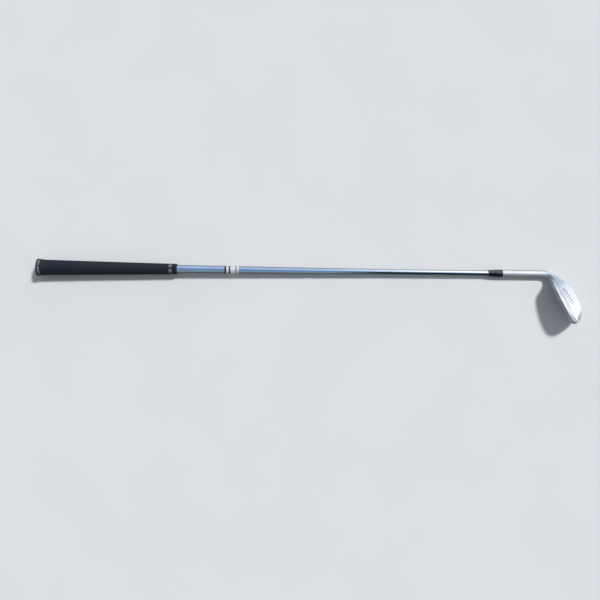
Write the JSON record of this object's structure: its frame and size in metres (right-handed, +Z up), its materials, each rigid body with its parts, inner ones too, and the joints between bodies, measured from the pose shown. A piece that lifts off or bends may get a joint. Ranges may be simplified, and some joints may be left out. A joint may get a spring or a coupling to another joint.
{
  "type": "iron golf club",
  "caption": "Left-handed short iron: forged steel head with a muscle back, stepped steel shaft, black ferrule and tapered rubber grip, lying face down.",
  "frame": {"origin": "centre of the flat end of the grip cap, on the shaft axis, where a club's length is measured from", "axes": "+X along the shaft axis from the butt to the head; +Z up with the club lying face down, which is away from the target line's front; the toe points towards -Y"},
  "size_m": [0.9444, 0.1065, 0.0532],
  "materials": {
    "head_steel": "satin",
    "engraving_paint": "satin",
    "shaft_chrome": "polished",
    "plug_brass": "machined",
    "epoxy": "cured",
    "ferrule_plastic": "gloss",
    "grip_tape": "matte",
    "grip_rubber": "matte",
    "grip_paint": "matte",
    "band_black": "gloss",
    "band_white": "gloss"
  },
  "bodies": {
    "root": {"club_head": "head_steel", "muscle_paint": "engraving_paint", "shaft": "shaft_chrome", "tip_plug": "plug_brass", "hosel_epoxy": "epoxy", "ferrule": "ferrule_plastic", "grip_tape": "grip_tape", "grip_sleeve": "grip_rubber", "grip_end_cap": "grip_rubber", "grip_butt_paint": "grip_paint", "grip_mouth_paint": "grip_paint", "shaft_band_rings": "band_black", "shaft_band_film": "band_white"}
  },
  "joints": []
}
